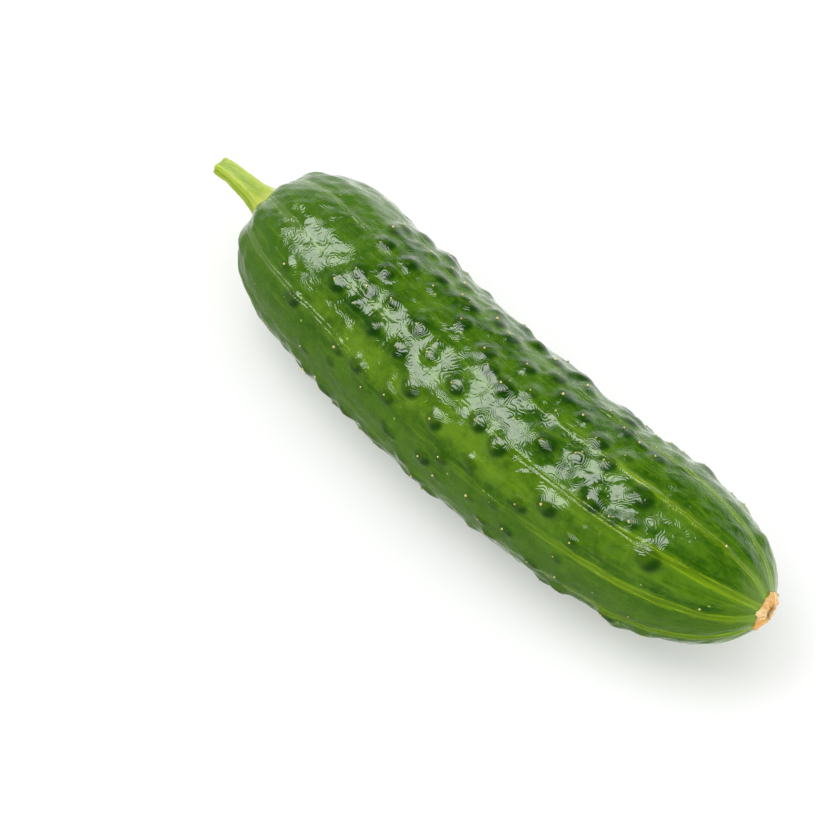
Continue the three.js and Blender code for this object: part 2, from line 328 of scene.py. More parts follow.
def meshFrom(name, vertices, quads, triangles):
    mesh = bpy.data.meshes.new(name)
    loops = np.concatenate([quads.ravel(), triangles.ravel()]).astype(np.int32)
    sizes = np.concatenate([np.full(len(quads), 4), np.full(len(triangles), 3)]).astype(np.int32)
    starts = np.concatenate([[0], np.cumsum(sizes)[:-1]]).astype(np.int32)
    mesh.vertices.add(len(vertices))
    mesh.vertices.foreach_set("co", vertices.astype(np.float32).ravel())
    mesh.loops.add(len(loops))
    mesh.loops.foreach_set("vertex_index", loops)
    mesh.polygons.add(len(sizes))
    mesh.polygons.foreach_set("loop_start", starts)
    mesh.polygons.foreach_set("use_smooth", np.ones(len(sizes), bool))
    mesh.update(calc_edges=True)
    mesh.validate()
    piece = bpy.data.objects.new(name, mesh)
    bpy.context.scene.collection.objects.link(piece)
    return piece


def giveField(piece, name, values, kind="FLOAT"):
    field = piece.data.attributes.new(name, kind, "POINT")
    key = "vector" if kind == "FLOAT_VECTOR" else "value"
    field.data.foreach_set(key, values.astype(np.float32).ravel())


def withTips(field, first, last):  # a grid's values, with one more for each tip vertex
    return np.concatenate([[first], field.reshape(-1, *field.shape[2:]), [last]])


def screenColour(red, green, blue):  # 0-255 screen values to linear colour
    def linear(value):
        share = value / 255.0
        return share / 12.92 if share <= 0.04045 else ((share + 0.055) / 1.055) ** 2.4
    return linear(red), linear(green), linear(blue), 1.0


def linearLook(look):  # a look's colours made linear, its plain numbers as they are
    return {key: screenColour(*value) if isinstance(value, tuple) else value for key, value in look.items()}


def addNode(tree, kind, inputs=None, **settings):
    made = tree.nodes.new(kind)
    for name, value in settings.items():
        setattr(made, name, value)
    for name, value in (inputs or {}).items():
        plug(tree, made.inputs[name], value)
    return made


def plug(tree, socket, value):  # a socket is linked, a plain value is set
    if isinstance(value, bpy.types.NodeSocket):
        tree.links.new(value, socket)
    else:
        socket.default_value = value


def maths(tree, operation, first, second=0.0):
    return addNode(tree, "ShaderNodeMath", {0: first, 1: second}, operation=operation).outputs[0]


def times(tree, first, second):
    return maths(tree, "MULTIPLY", first, second)


def plus(tree, first, second):
    return maths(tree, "ADD", first, second)


def mixColour(tree, share, under, over):
    return addNode(tree, "ShaderNodeMix", {0: share, 6: under, 7: over}, data_type="RGBA").outputs[2]


def remap(tree, value, low, high, newLow=0.0, newHigh=1.0):
    inputs = {"Value": value, "From Min": low, "From Max": high, "To Min": newLow, "To Max": newHigh}
    return addNode(tree, "ShaderNodeMapRange", inputs, interpolation_type="SMOOTHSTEP").outputs[0]


def noise(tree, place, scale, detail=2.0, roughness=0.5):
    inputs = {"Vector": place, "Scale": scale, "Detail": detail, "Roughness": roughness}
    return addNode(tree, "ShaderNodeTexNoise", inputs).outputs["Fac"]


def newGroup(name, inputs, outputs):
    group = bpy.data.node_groups.new(name, "ShaderNodeTree")
    for label, kind, value in inputs:
        socket = group.interface.new_socket(label, in_out="INPUT", socket_type=kind)
        if value is not None:
            socket.default_value = value
    for label, kind in outputs:
        group.interface.new_socket(label, in_out="OUTPUT", socket_type=kind)
    return group, group.nodes.new("NodeGroupInput").outputs, group.nodes.new("NodeGroupOutput").inputs


def useGroup(tree, group, **inputs):
    return addNode(tree, "ShaderNodeGroup", inputs, node_tree=group).outputs


def fibreGroup():  # long fine fibres: noise drawn out along the first axis
    group, given, out = newGroup(
        "longFibres",
        [("Place", "NodeSocketVector", None), ("Stretch", "NodeSocketFloat", 0.1),
         ("Scale", "NodeSocketFloat", 800.0)],
        [("Fine", "NodeSocketFloat"), ("Broad", "NodeSocketFloat")])
    drawn = addNode(group, "ShaderNodeCombineXYZ", {0: given["Stretch"], 1: 1.0, 2: 1.0}).outputs[0]
    inputs = {0: given["Place"], 1: drawn}
    place = addNode(group, "ShaderNodeVectorMath", inputs, operation="MULTIPLY").outputs[0]
    group.links.new(noise(group, place, given["Scale"], 4.0, 0.6), out["Fine"])
    wide = times(group, given["Scale"], 0.27)
    group.links.new(noise(group, place, wide, 2.0, 0.5), out["Broad"])
    return group


def speckGroup():  # small round dots, few or many by the share kept
    group, given, out = newGroup(
        "specks",
        [("Place", "NodeSocketVector", None), ("Scale", "NodeSocketFloat", 300.0),
         ("Size", "NodeSocketFloat", 0.1), ("Kept", "NodeSocketFloat", 0.3)],
        [("Mask", "NodeSocketFloat")])
    cells = addNode(group, "ShaderNodeTexVoronoi", {"Vector": given["Place"], "Scale": given["Scale"]})
    edge = times(group, given["Size"], 0.55)
    dot = addNode(group, "ShaderNodeMapRange", {
        "Value": cells.outputs["Distance"], "From Min": given["Size"], "From Max": edge}).outputs[0]
    chance = addNode(group, "ShaderNodeSeparateColor", {0: cells.outputs["Color"]}).outputs[0]
    kept = maths(group, "LESS_THAN", chance, given["Kept"])
    group.links.new(times(group, dot, kept), out["Mask"])
    return group


def newMaterial(name):
    material = bpy.data.materials.new(name)
    material.use_nodes = True
    tree = material.node_tree
    return material, tree, tree.nodes["Principled BSDF"]


def attribute(tree, name, output="Fac"):
    return addNode(tree, "ShaderNodeAttribute", attribute_name=name).outputs[output]


def giveBump(tree, shader, height):  # the height is in metres
    bump = addNode(tree, "ShaderNodeBump", {"Strength": 1.0, "Distance": 1.0, "Height": height})
    tree.links.new(bump.outputs[0], shader.inputs["Normal"])


skinLook = {
    "deep": (34, 80, 4), "middle": (78, 120, 16), "light": (112, 152, 28), "shoulder": (74, 116, 28),
    "streak": (136, 172, 14), "furrow": (44, 86, 2), "wartDark": (16, 58, 0), "bandGreen": (104, 142, 28),
    # of these colours, the pale grey-green of the shoulder's raised lines is a painted sheen, and the dark
    # furrow green a painted shade
    "speck": (190, 204, 96), "endGreen": (88, 124, 10), "crestSheen": (138, 168, 92), "lower": (78, 118, 14),
    "shoulderShare": 0.75, "lowerShare": 0.6, "endShare": 0.6, "crestSheenShare": 0.55, "furrowShadeShare": 0.5,
    "wartShade": 0.46, "leeShade": 0.46, "speckShare": 0.7,
    "mottleScale": 120.0, "blotchScale": 330.0, "leatherScale": 620.0, "grainScale": 2400.0,
    "fibreScale": 950.0, "fibreStretch": 0.1, "speckScale": 300.0, "speckSize": 0.1, "specksKept": 0.25,
    "swirlScale": 230.0, "ripples": 92.0, "ripple": 0.000017, "leather": 0.00005, "grain": 0.000002,
    "fibre": 0.00003, "ridge": 0.0002,
    "roughness": 0.14, "lowerRoughness": 0.12, "specular": 0.34, "ior": 1.48,
}


# the noises, and the fields painted on the mesh, that the skin's colour and relief share
def skinMarks(tree, look, fibres):
    place = attribute(tree, "peelPlace", "Vector")
    lines = useGroup(tree, fibres, Place=place, Stretch=look["fibreStretch"], Scale=look["fibreScale"])
    marks = {"place": place, "fine": lines["Fine"], "broad": lines["Broad"]}
    for name in ("wart", "paintedLeeShade", "pleatGap", "ridgeSide", "ridge", "streak"):
        marks[name] = attribute(tree, name)
    for name in ("shoulder", "smoothBand", "endGlow", "lowerSide"):
        marks[name] = attribute(tree, name)
    marks["mottle"] = noise(tree, place, look["mottleScale"], 5.0, 0.62)
    marks["leather"] = noise(tree, place, look["leatherScale"], 3.0, 0.6)
    marks["blotch"] = noise(tree, place, look["blotchScale"], 4.0, 0.65)
    marks["ridgeLine"] = remap(tree, maths(tree, "ABSOLUTE", marks["ridgeSide"]), 0.42, 0.05)
    return marks


# deep to middle green in blotches, with a paler shoulder, smooth band, lower side and blossom end
def skinGreens(tree, look, marks):
    share = plus(tree, times(tree, marks["broad"], 0.4), times(tree, marks["mottle"], 0.5))
    share = plus(tree, share, times(tree, marks["blotch"], 0.5))
    colour = mixColour(tree, remap(tree, share, 0.54, 0.86), look["deep"], look["middle"])
    colour = mixColour(tree, times(tree, marks["shoulder"], look["shoulderShare"]), colour, look["shoulder"])
    band = times(tree, marks["smoothBand"], remap(tree, share, 0.5, 0.85, 0.3, 0.9))
    colour = mixColour(tree, band, colour, look["bandGreen"])
    colour = mixColour(tree, remap(tree, marks["leather"], 0.5, 0.72, 0.0, 0.25), colour, look["light"])
    colour = mixColour(tree, remap(tree, marks["fine"], 0.5, 0.72, 0.0, 0.42), colour, look["light"])
    colour = mixColour(tree, times(tree, marks["lowerSide"], look["lowerShare"]), colour, look["lower"])
    ends = remap(tree, marks["endGlow"], 0.0, 1.0, 0.0, look["endShare"])
    return mixColour(tree, ends, colour, look["endGreen"])


# broken yellow-green streaks over the pleats, a pale painted sheen on the raised lines at the shoulder and a
# dark thread of painted shade in each furrow
def skinStreaks(tree, look, marks, colour):
    line = times(tree, marks["ridgeLine"], remap(tree, marks["blotch"], 0.35, 0.6, 0.45, 0.95))
    broken = plus(tree, marks["pleatGap"], remap(tree, marks["blotch"], 0.3, 0.7, -0.5, 0.5))
    glow = maths(tree, "MAXIMUM", line, remap(tree, broken, 1.5, 0.1, 0.0, 0.62))
    streak = times(tree, times(tree, glow, marks["streak"]), remap(tree, marks["fine"], 0.3, 0.6, 0.5, 0.95))
    colour = mixColour(tree, streak, colour, look["streak"])
    # painted sheen: the shoulder's raised lines are made paler and greyer, as if they caught the light
    crestSheen = times(tree, times(tree, glow, marks["shoulder"]), look["crestSheenShare"])
    colour = mixColour(tree, crestSheen, colour, look["crestSheen"])
    # painted shade: a dark line down the middle of each furrow, where the raised lines show
    furrowShade = times(tree, remap(tree, marks["pleatGap"], 0.3, 0.05), look["furrowShadeShare"])
    return mixColour(tree, times(tree, furrowShade, marks["ridge"]), colour, look["furrow"])


# warts are darker green than the skin; painted shade darkens them further on the flank away from the stalk,
# which the key light misses; pale specks lie over all
def skinDots(tree, look, marks, specks, colour):
    mound = times(tree, remap(tree, marks["wart"], 0.3, 0.75), look["wartShade"])
    paintedLeeShade = times(tree, remap(tree, marks["paintedLeeShade"], 0.2, 0.6), look["leeShade"])
    colour = mixColour(tree, plus(tree, mound, paintedLeeShade), colour, look["wartDark"])
    dots = useGroup(tree, specks, Place=marks["place"], Scale=look["speckScale"],
                    Size=look["speckSize"], Kept=look["specksKept"])["Mask"]
    return mixColour(tree, times(tree, dots, look["speckShare"]), colour, look["speck"])


# sin(ripples x swirl) makes fine waves that bend round the warts; grain, fibres and raised lines are added
def skinRelief(tree, look, marks):
    swirl = noise(tree, marks["place"], look["swirlScale"], 1.0, 0.4)
    swirl = plus(tree, swirl, times(tree, marks["wart"], 0.25))
    waves = maths(tree, "SINE", times(tree, swirl, look["ripples"]))
    grain = noise(tree, marks["place"], look["grainScale"], 2.0, 0.6)
    height = plus(tree, times(tree, waves, look["ripple"]), times(tree, grain, look["grain"]))
    height = plus(tree, height, times(tree, marks["fine"], look["fibre"]))
    height = plus(tree, height, times(tree, marks["leather"], look["leather"]))
    raised = times(tree, times(tree, marks["ridgeLine"], marks["ridge"]), look["ridge"])
    raised = times(tree, raised, remap(tree, marks["blotch"], 0.35, 0.6, 0.3, 1.0))
    return plus(tree, height, raised)


def makeSkin(fibres, specks):
    look = linearLook(skinLook)
    material, tree, shader = newMaterial("cucumberSkin")
    marks = skinMarks(tree, look, fibres)
    colour = skinGreens(tree, look, marks)
    colour = skinStreaks(tree, look, marks, colour)
    colour = skinDots(tree, look, marks, specks, colour)
    tree.links.new(colour, shader.inputs["Base Color"])
    shine = remap(tree, marks["mottle"], 0.3, 0.7, look["roughness"] - 0.04, look["roughness"] + 0.08)
    dull = times(tree, marks["lowerSide"], look["lowerRoughness"])
    tree.links.new(plus(tree, shine, dull), shader.inputs["Roughness"])
    giveBump(tree, shader, skinRelief(tree, look, marks))
    shader.inputs["IOR"].default_value = look["ior"]
    shader.inputs["Specular IOR Level"].default_value = look["specular"]
    return material


# where each part of the skin lies: 0 to 1 fields for the material, and distances in mm from the pleats
def skinFields(station, angle, radius, gap, nearest):
    degrees = np.degrees(angle)
    band = smoothStep(124.0, 132.0, degrees) * (1.0 - smoothStep(143.0, 156.0, degrees))
    band = band * smoothStep(20.0, 55.0, station) * (1.0 - 0.75 * smoothStep(95.0, 145.0, station))
    return {
        "pleatGap": gap, "ridgeSide": gap - ridgeOffset(station, nearest),
        "ridge": ridgeShare(station, radius, nearest), "shoulder": 1.0 - smoothStep(12.0, 48.0, station),
        "streak": 0.2 * smoothStep(30.0, 60.0, station) + 0.8 * smoothStep(95.0, 136.0, station),
        "smoothBand": band, "endGlow": smoothStep(fruitForm["length"] - 9.0, flatStation(), station),
        "lowerSide": smoothStep(146.0, 170.0, degrees) * (1.0 - smoothStep(190.0, 230.0, degrees)),
    }


def makeFruit(fibres, specks):
    f = fruitForm
    share = np.arange(1, f["rows"] + 1) / f["rows"]
    turn = np.arange(f["sides"]) * 2.0 * math.pi / f["sides"]
    station, angle = np.meshgrid(stationAt(share), turn, indexing="ij")
    radius = bodyRadius(station)
    gap, nearest = pleatGap(station, angle, radius)
    placed = placeWarts()
    relief, mound, paintedLeeShade = wartRelief(station, angle, radius, placed)
    relief += pleatRelief(station, radius, gap, nearest)
    swells = sum(height * swell(station, angle, *wave) for height, *wave in skinSwells)
    relief += swells * smoothStep(4.0, 14.0, radius)
    rings = skinPoints(station, angle, relief)
    start, along, _ = axisFrame(0.0)
    end, _, _ = axisFrame(flatStation())
    piece = closedRings("fruitSkin", rings, start + along * f["dimpleDepth"], end)
    peel = np.stack([station, f["radius"] * np.cos(angle), f["radius"] * np.sin(angle)], -1) * mm
    giveField(piece, "peelPlace", withTips(peel, [0, 0, 0], [flatStation() * mm, 0, 0]), "FLOAT_VECTOR")
    # the warts' mound field, and the field for their painted shade on the flank away from the stalk
    fields = {"wart": mound, "paintedLeeShade": paintedLeeShade} | skinFields(station, angle, radius, gap, nearest)
    for name, values in fields.items():
        giveField(piece, name, withTips(values, values[0].mean(), values[-1].mean()))
    piece.data.materials.append(makeSkin(fibres, specks))
    print("fruit:", len(piece.data.polygons), "faces,", len(placed[0]), "warts")
    return piece, placed


def vertexPlaces(piece):
    places = np.empty(len(piece.data.vertices) * 3, np.float32)
    piece.data.vertices.foreach_get("co", places)
    return places.reshape(-1, 3)


# all pieces are moved together, so that the fruit lies in the middle of the CAD fruit's box, on its floor
def moveInto(pieces, piece, low, high):
    points = vertexPlaces(piece)
    middle = (np.array(low) + np.array(high)) / 2.0 - (points.min(0) + points.max(0)) / 2.0
    shift = np.array([middle[0], middle[1], low[2] - points[:, 2].min()])
    for other in pieces:
        moved = vertexPlaces(other) + shift
        other.data.vertices.foreach_set("co", moved.astype(np.float32).ravel())
        other.data.update()
    return shift


stalkForm = {
    "length": 17.4, "radius": 2.2, "taper": 0.95, "baseRadius": 6.8, "flareLength": 2.2,
    "ridges": 5, "ridge": 0.09, "side": 1.3, "down": 1.9, "elbowSide": 0.5, "elbowDown": 0.25,
    "tipSwell": 0.1, "notch": 0.35, "cutRings": 14, "cutHollow": 0.25, "sunk": 0.7,
    "rows": 120, "sides": 120, "footEnd": 5.0, "brimEnd": 1.5,
}
stalkLook = {
    # the darker groove green is painted shade in the stalk's grooves and a darker tone in random patches
    "green": (186, 210, 52), "pale": (224, 232, 130), "grooveShadeAndTone": (156, 188, 34), "foot": (214, 222, 92),
    "brim": (104, 146, 38), "cut": (206, 214, 140), "roughness": 0.32, "softness": 0.15,
    "fibreScale": 1500.0, "fibreStretch": 0.14, "speckScale": 900.0, "speckSize": 0.2, "specksKept": 0.3,
    "speckShare": 0.45, "fibre": 0.00018, "speck": 0.00004,
}


def makeStalkSkin(fibres, specks):
    look = linearLook(stalkLook)
    material, tree, shader = newMaterial("stalkSkin")
    place = attribute(tree, "stalkPlace", "Vector")
    lines = useGroup(tree, fibres, Place=place, Stretch=look["fibreStretch"], Scale=look["fibreScale"])
    fine, broad = lines["Fine"], lines["Broad"]
    # painted shade: the grooves between the stalk's five ribs are darker green; the same darker green also
    # comes in random patches below
    colour = mixColour(tree, remap(tree, attribute(tree, "rib"), 0.1, 0.9), look["grooveShadeAndTone"], look["green"])
    colour = mixColour(tree, remap(tree, fine, 0.5, 0.75, 0.0, 0.7), colour, look["pale"])
    colour = mixColour(tree, remap(tree, broad, 0.5, 0.7, 0.0, 0.4), colour, look["grooveShadeAndTone"])
    foot = times(tree, attribute(tree, "foot"), remap(tree, broad, 0.35, 0.6, 0.2, 0.85))
    colour = mixColour(tree, foot, colour, look["foot"])
    colour = mixColour(tree, attribute(tree, "brim"), colour, look["brim"])
    colour = mixColour(tree, attribute(tree, "cut"), colour, look["cut"])
    dots = useGroup(tree, specks, Place=place, Scale=look["speckScale"],
                    Size=look["speckSize"], Kept=look["specksKept"])["Mask"]
    colour = mixColour(tree, times(tree, dots, look["speckShare"]), colour, look["pale"])
    tree.links.new(colour, shader.inputs["Base Color"])
    shine = remap(tree, broad, 0.3, 0.7, look["roughness"] - 0.06, look["roughness"] + 0.1)
    tree.links.new(shine, shader.inputs["Roughness"])
    giveBump(tree, shader, plus(tree, times(tree, fine, look["fibre"]), times(tree, dots, look["speck"])))
    shader.inputs["Subsurface Weight"].default_value = look["softness"]
    shader.inputs["Subsurface Radius"].default_value = (0.002, 0.002, 0.0006)
    return material


# stalk radius: slim part + flare at the foot, in a five-angled section, a little swollen at the tip
def stalkRadius(share, angle, height, ribWave):
    s = stalkForm
    flare = (s["baseRadius"] - s["radius"] - s["taper"]) * np.exp(-height / s["flareLength"])
    slim = s["radius"] + s["taper"] * (1.0 - height / s["length"])
    ribbed = s["ridge"] * (ribWave ** 0.7 * 2.0 - 1.0) + 0.02 * np.cos(13 * angle + 1.0)
    tipSwell = s["tipSwell"] * smoothStep(0.86, 0.97, share)
    radius = (slim + flare + tipSwell) * (1.0 + ribbed * smoothStep(0.05, 0.35, share))
    return radius + 0.03 * swell(share * 60.0, angle, 14, 12.0, 4.0, 21)


# the foot follows the dimple; above it the rings are carried out along a path with an elbow and a droop
def stalkSides(share, angle, height, radius):
    s, f = stalkForm, fruitForm
    radiusShare = np.minimum(radius / fullRadius(0.0), 0.95)
    footStation = capDistance(radiusShare, f["shoulderLength"], f["shoulderPower"])
    foot = footStation + shoulderShift(radius, angle, footStation) + s["sunk"]
    notch = s["notch"] * smoothStep(0.9, 1.0, share) * np.maximum(np.cos(angle - 1.9), 0.0) ** 3
    level = foot * (1.0 - share) ** 2 - height + notch
    centre, along, across = axisFrame(0.0)
    elbow = smoothStep(0.0, 3.0, height) * (1.0 - smoothStep(4.0, 14.0, height))
    droop = (height / s["length"]) ** 1.4
    sideways = radius * np.cos(angle) - s["side"] * droop - s["elbowSide"] * elbow
    rings = centre + along * level[..., None] + across * sideways[..., None]
    rings[..., 2] += radius * np.sin(angle) - s["down"] * droop - s["elbowDown"] * elbow
    return rings


# the cut: the last ring shrinks to its middle and sinks a little
def stalkCut(last, angle, inward):
    _, along, _ = axisFrame(0.0)
    middle = last.mean(0)
    sink = stalkForm["cutHollow"] * smoothStep(0.0, 0.6, 1.0 - inward) * 0.8
    ridge = 0.06 * np.cos(9 * angle + 4.0 * inward) * inward
    return middle + (last - middle) * inward[..., None] + along * (sink + ridge)[..., None]


def giveStalkFields(piece, angle, height, ribWave, inward):
    s = stalkForm
    onCap = np.ones((len(inward), s["sides"]))
    first, second = 6.0 * np.cos(angle), 6.0 * np.sin(angle)
    sidePlace = np.stack([height, first, second], -1)
    capPlace = np.stack([s["length"] * onCap, inward * first[:1], inward * second[:1]], -1)
    places = np.concatenate([sidePlace, capPlace]) * mm
    giveField(piece, "stalkPlace", withTips(places, [0, 0, 0], [s["length"] * mm, 0, 0]), "FLOAT_VECTOR")
    fields = {  # the values up the sides, then the one at the hidden foot and the one on the cut
        "rib": (ribWave, 1.0, 1.0),
        "foot": (1.0 - smoothStep(1.0, s["footEnd"], height), 1.0, 0.0),
        "brim": (1.0 - smoothStep(0.1, s["brimEnd"], height), 1.0, 0.0),
        "cut": (smoothStep(s["length"] - 0.5, s["length"], height), 0.0, 1.0),
    }
    for name, (values, atFoot, atCut) in fields.items():
        giveField(piece, name, withTips(np.concatenate([values, atCut * onCap]), atFoot, atCut))


def makeStalk(fibres, specks):
    s = stalkForm
    share = np.linspace(0.0, 1.0, s["rows"])[:, None]
    angle = np.arange(s["sides"])[None, :] * 2.0 * math.pi / s["sides"]
    share, angle = np.broadcast_arrays(share, angle)
    height = s["length"] * share ** 1.4
    ribWave = np.cos(s["ridges"] * angle + 0.5) * 0.5 + 0.5
    sides = stalkSides(share, angle, height, stalkRadius(share, angle, height, ribWave))
    inward = np.linspace(1.0, 0.0, s["cutRings"] + 2)[1:-1, None]
    rings = np.concatenate([sides, stalkCut(sides[-1], angle[:1], inward)])
    centre, along, _ = axisFrame(0.0)
    start = centre + along * (fruitForm["dimpleDepth"] + s["sunk"])
    tip = sides[-1].mean(0) + along * s["cutHollow"] * 0.9
    piece = closedRings("stalkStub", rings, start, tip, flip=True)
    giveStalkFields(piece, angle, height, ribWave, inward)
    piece.data.materials.append(makeStalkSkin(fibres, specks))
    print("stalk:", len(piece.data.polygons), "faces")
    return piece


scarForm = {
    "radius": 4.35, "thickness": 0.95, "pitRadius": 1.5, "pitDepth": 1.0, "under": 0.5,
    "rows": 66, "sides": 260,
    "teeth": 19, "toothJitter": 0.35, "toothReach": (0.25, 1.0), "toothWidth": (0.035, 0.08), "seed": 12,
}
scarLook = {
    "tan": (232, 178, 100), "light": (250, 222, 166), "dark": (180, 118, 48), "pit": (104, 56, 18),
    "fibreScale": 1500.0, "fibreStretch": 0.3, "speckScale": 1100.0, "speckSize": 0.25, "specksKept": 0.35,
    "speckShare": 0.5, "fibre": 0.0003, "roughnessLow": 0.75, "roughnessHigh": 0.85,
}


def makeScarBark(fibres, specks):
    look = linearLook(scarLook)
    material, tree, shader = newMaterial("driedFlower")
    place = attribute(tree, "scarPlace", "Vector")
    lines = useGroup(tree, fibres, Place=place, Stretch=look["fibreStretch"], Scale=look["fibreScale"])
    colour = mixColour(tree, remap(tree, lines["Broad"], 0.35, 0.65), look["tan"], look["light"])
    colour = mixColour(tree, remap(tree, lines["Fine"], 0.55, 0.7, 0.0, 0.6), colour, look["dark"])
    colour = mixColour(tree, attribute(tree, "pit"), colour, look["pit"])
    dots = useGroup(tree, specks, Place=place, Scale=look["speckScale"],
                    Size=look["speckSize"], Kept=look["specksKept"])["Mask"]
    colour = mixColour(tree, times(tree, dots, look["speckShare"]), colour, look["light"])
    tree.links.new(colour, shader.inputs["Base Color"])
    dryness = remap(tree, lines["Fine"], 0.3, 0.7, look["roughnessLow"], look["roughnessHigh"])
    tree.links.new(dryness, shader.inputs["Roughness"])
    giveBump(tree, shader, times(tree, lines["Fine"], look["fibre"]))
    return material


def scarTeeth(angle):  # thin teeth of seeded place, reach and width round the edge
    s = scarForm
    random = np.random.default_rng(s["seed"])
    teeth = np.zeros_like(angle)
    for k in range(s["teeth"]):
        at = (k + random.uniform(-s["toothJitter"], s["toothJitter"])) * 2.0 * math.pi / s["teeth"]
        reach = random.uniform(*s["toothReach"])
        width = random.uniform(*s["toothWidth"])
        teeth = teeth + reach * np.exp(-(np.abs(turnBetween(at, angle)) / width) ** 1.2)
    return teeth


# top of the scar: the skin's level + a ring with rays and lumps - the pit in the middle
def scarTop(share, angle, radius, skinLevel):
    s = scarForm
    thick = s["thickness"] * (1.0 - smoothStep(0.55, 1.0, share)) * smoothStep(0.1, 0.45, share) + 0.22
    rays = 0.16 * np.cos(17 * angle + 2.0 * np.sin(3 * angle)) + 0.1 * np.cos(31 * angle + 1.3)
    lumps = 0.14 * swell(share * 24.0, angle, 30, 9.0, 3.0, 9)
    pit = s["pitDepth"] * np.exp(-(radius / s["pitRadius"]) ** 4) - 0.5 * np.exp(-(radius / 0.45) ** 2)
    rough = rays * smoothStep(0.25, 0.7, share) + lumps * smoothStep(0.1, 0.4, share)
    top = skinLevel + thick + rough * 0.8
    return np.maximum(top - pit, skinLevel + 0.1)


def scarPoints(angle, radius, level):
    centre, along, across = axisFrame(flatStation())
    points = centre + along * level[..., None] + across * (radius * np.cos(angle[:1]))[..., None]
    points[..., 2] += radius * np.sin(angle[:1])
    return points


# scar: a disc in polar form, with a ragged edge drawn out into teeth, closed below by a few sunken rings
def makeScar(fibres, specks):
    s, f = scarForm, fruitForm
    share = np.linspace(0.0, 1.0, s["rows"])[1:, None]
    angle = np.arange(s["sides"])[None, :] * 2.0 * math.pi / s["sides"]
    share, angle = np.broadcast_arrays(share, angle)
    lobes = 0.22 * np.cos(5 * angle + 0.7) + 0.16 * np.cos(3 * angle + 2.0)
    radius = share * (s["radius"] - 0.15 + lobes * share) + scarTeeth(angle) * share ** 8
    full = fullRadius(f["length"])
    fall = capDistance(np.minimum(radius / full, 0.95), f["blossomLength"], f["blossomPower"])
    flatFall = capDistance(f["blossomFlatRadius"] / full, f["blossomLength"], f["blossomPower"])
    skinLevel = -np.maximum(fall - flatFall, 0.0)
    under = np.array([1.0, 0.985, 0.9, 0.6, 0.3])[:, None]
    underLevel = skinLevel[-1:] * under - np.array([0.1, 0.3, 0.5, 0.5, 0.5])[:, None]
    top = scarPoints(angle, radius, scarTop(share, angle, radius, skinLevel))
    rings = np.concatenate([top, scarPoints(angle, radius[-1:] * under, underLevel)])
    centre, along, _ = axisFrame(flatStation())
    first = centre + along * (s["thickness"] - s["pitDepth"] + 0.5)
    piece = closedRings("flowerScar", rings, first, centre - along * s["under"], flip=True)
    giveScarFields(piece, angle, radius, len(under))
    piece.data.materials.append(makeScarBark(fibres, specks))
    print("scar:", len(piece.data.polygons), "faces")
    return piece


def giveScarFields(piece, angle, radius, count):
    place = np.stack([radius, 4.0 * np.cos(angle), 4.0 * np.sin(angle)], -1)
    places = np.concatenate([place, np.repeat(place[-1:], count, axis=0)]) * mm
    giveField(piece, "scarPlace", withTips(places, [0, 0, 0], [0, 0, 0]), "FLOAT_VECTOR")
    dark = np.exp(-((radius - 1.1) / 0.6) ** 2) * 0.95 + 0.25 * np.exp(-(radius / 0.5) ** 2)
    giveField(piece, "pit", withTips(np.concatenate([dark, np.zeros((count, angle.shape[1]))]), 0.3, 0))


spineForm = {
    "radius": 0.28, "height": 0.4, "sides": 6, "levels": 4, "lean": 0.3, "kept": 0.8, "offset": 0.5,
    "lowest": -0.94, "sunk": 0.12,
}
spineLook = {"cream": (222, 210, 120), "brown": (150, 120, 60), "roughness": 0.5, "patchScale": 140.0}


def makeSpineHorn():
    look = linearLook(spineLook)
    material, tree, shader = newMaterial("spineHorn")
    place = addNode(tree, "ShaderNodeTexCoord").outputs["Object"]
    patches = noise(tree, place, look["patchScale"])
    colour = mixColour(tree, remap(tree, patches, 0.52, 0.66), look["cream"], look["brown"])
    tree.links.new(colour, shader.inputs["Base Color"])
    shine = remap(tree, patches, 0.3, 0.7, look["roughness"] - 0.1, look["roughness"] + 0.1)
    tree.links.new(shine, shader.inputs["Roughness"])
    return material


# most warts off the belly have a spine: it stands on the wart's stalk side and leans a little to the stalk
def spineRoots(placed):
    s, w = spineForm, warts
    station, angle, size = placed
    order = np.arange(len(station)) + 1.0
    kept = (scatter(order + 500.0) < s["kept"]) & (np.sin(angle) > s["lowest"])
    station, angle, size, order = station[kept], angle[kept], size[kept], order[kept]
    station = station - s["offset"] * w["length"] * wartSpread(size)
    radius = bodyRadius(station)
    gap, nearest = pleatGap(station, angle, radius)
    bell = math.exp(-(s["offset"] ** 2 / w["flatness"]) ** w["steepness"])
    lift = w["height"] * size * (bell + w["nipple"]) + pleatRelief(station, radius, gap, nearest)
    base = skinPoints(station, angle, lift - s["sunk"])
    normal = skinPoints(station, angle, lift + 1.0) - base
    normal[:, 0] -= s["lean"] * (0.5 + scatter(order + 90.0))
    normal /= np.linalg.norm(normal, axis=1, keepdims=True)
    return base, normal, 0.75 + 0.5 * scatter(order + 700.0)


# one spine's faces: walls between its rings, a cap of triangles to the tip and a fan under the foot
def spineFaces(sides, levels):
    step = np.arange(sides)
    after = (step + 1) % sides
    here = np.arange(levels - 1)[:, None] * sides + step
    beside = np.arange(levels - 1)[:, None] * sides + after
    quads = np.stack([here, beside, beside + sides, here + sides], -1).reshape(-1, 4)
    last = (levels - 1) * sides
    tip = levels * sides
    cap = np.stack([last + step, last + after, np.full(sides, tip)], -1)
    foot = np.stack([after, step, np.full(sides, tip + 1)], -1)
    return quads, np.concatenate([cap, foot])


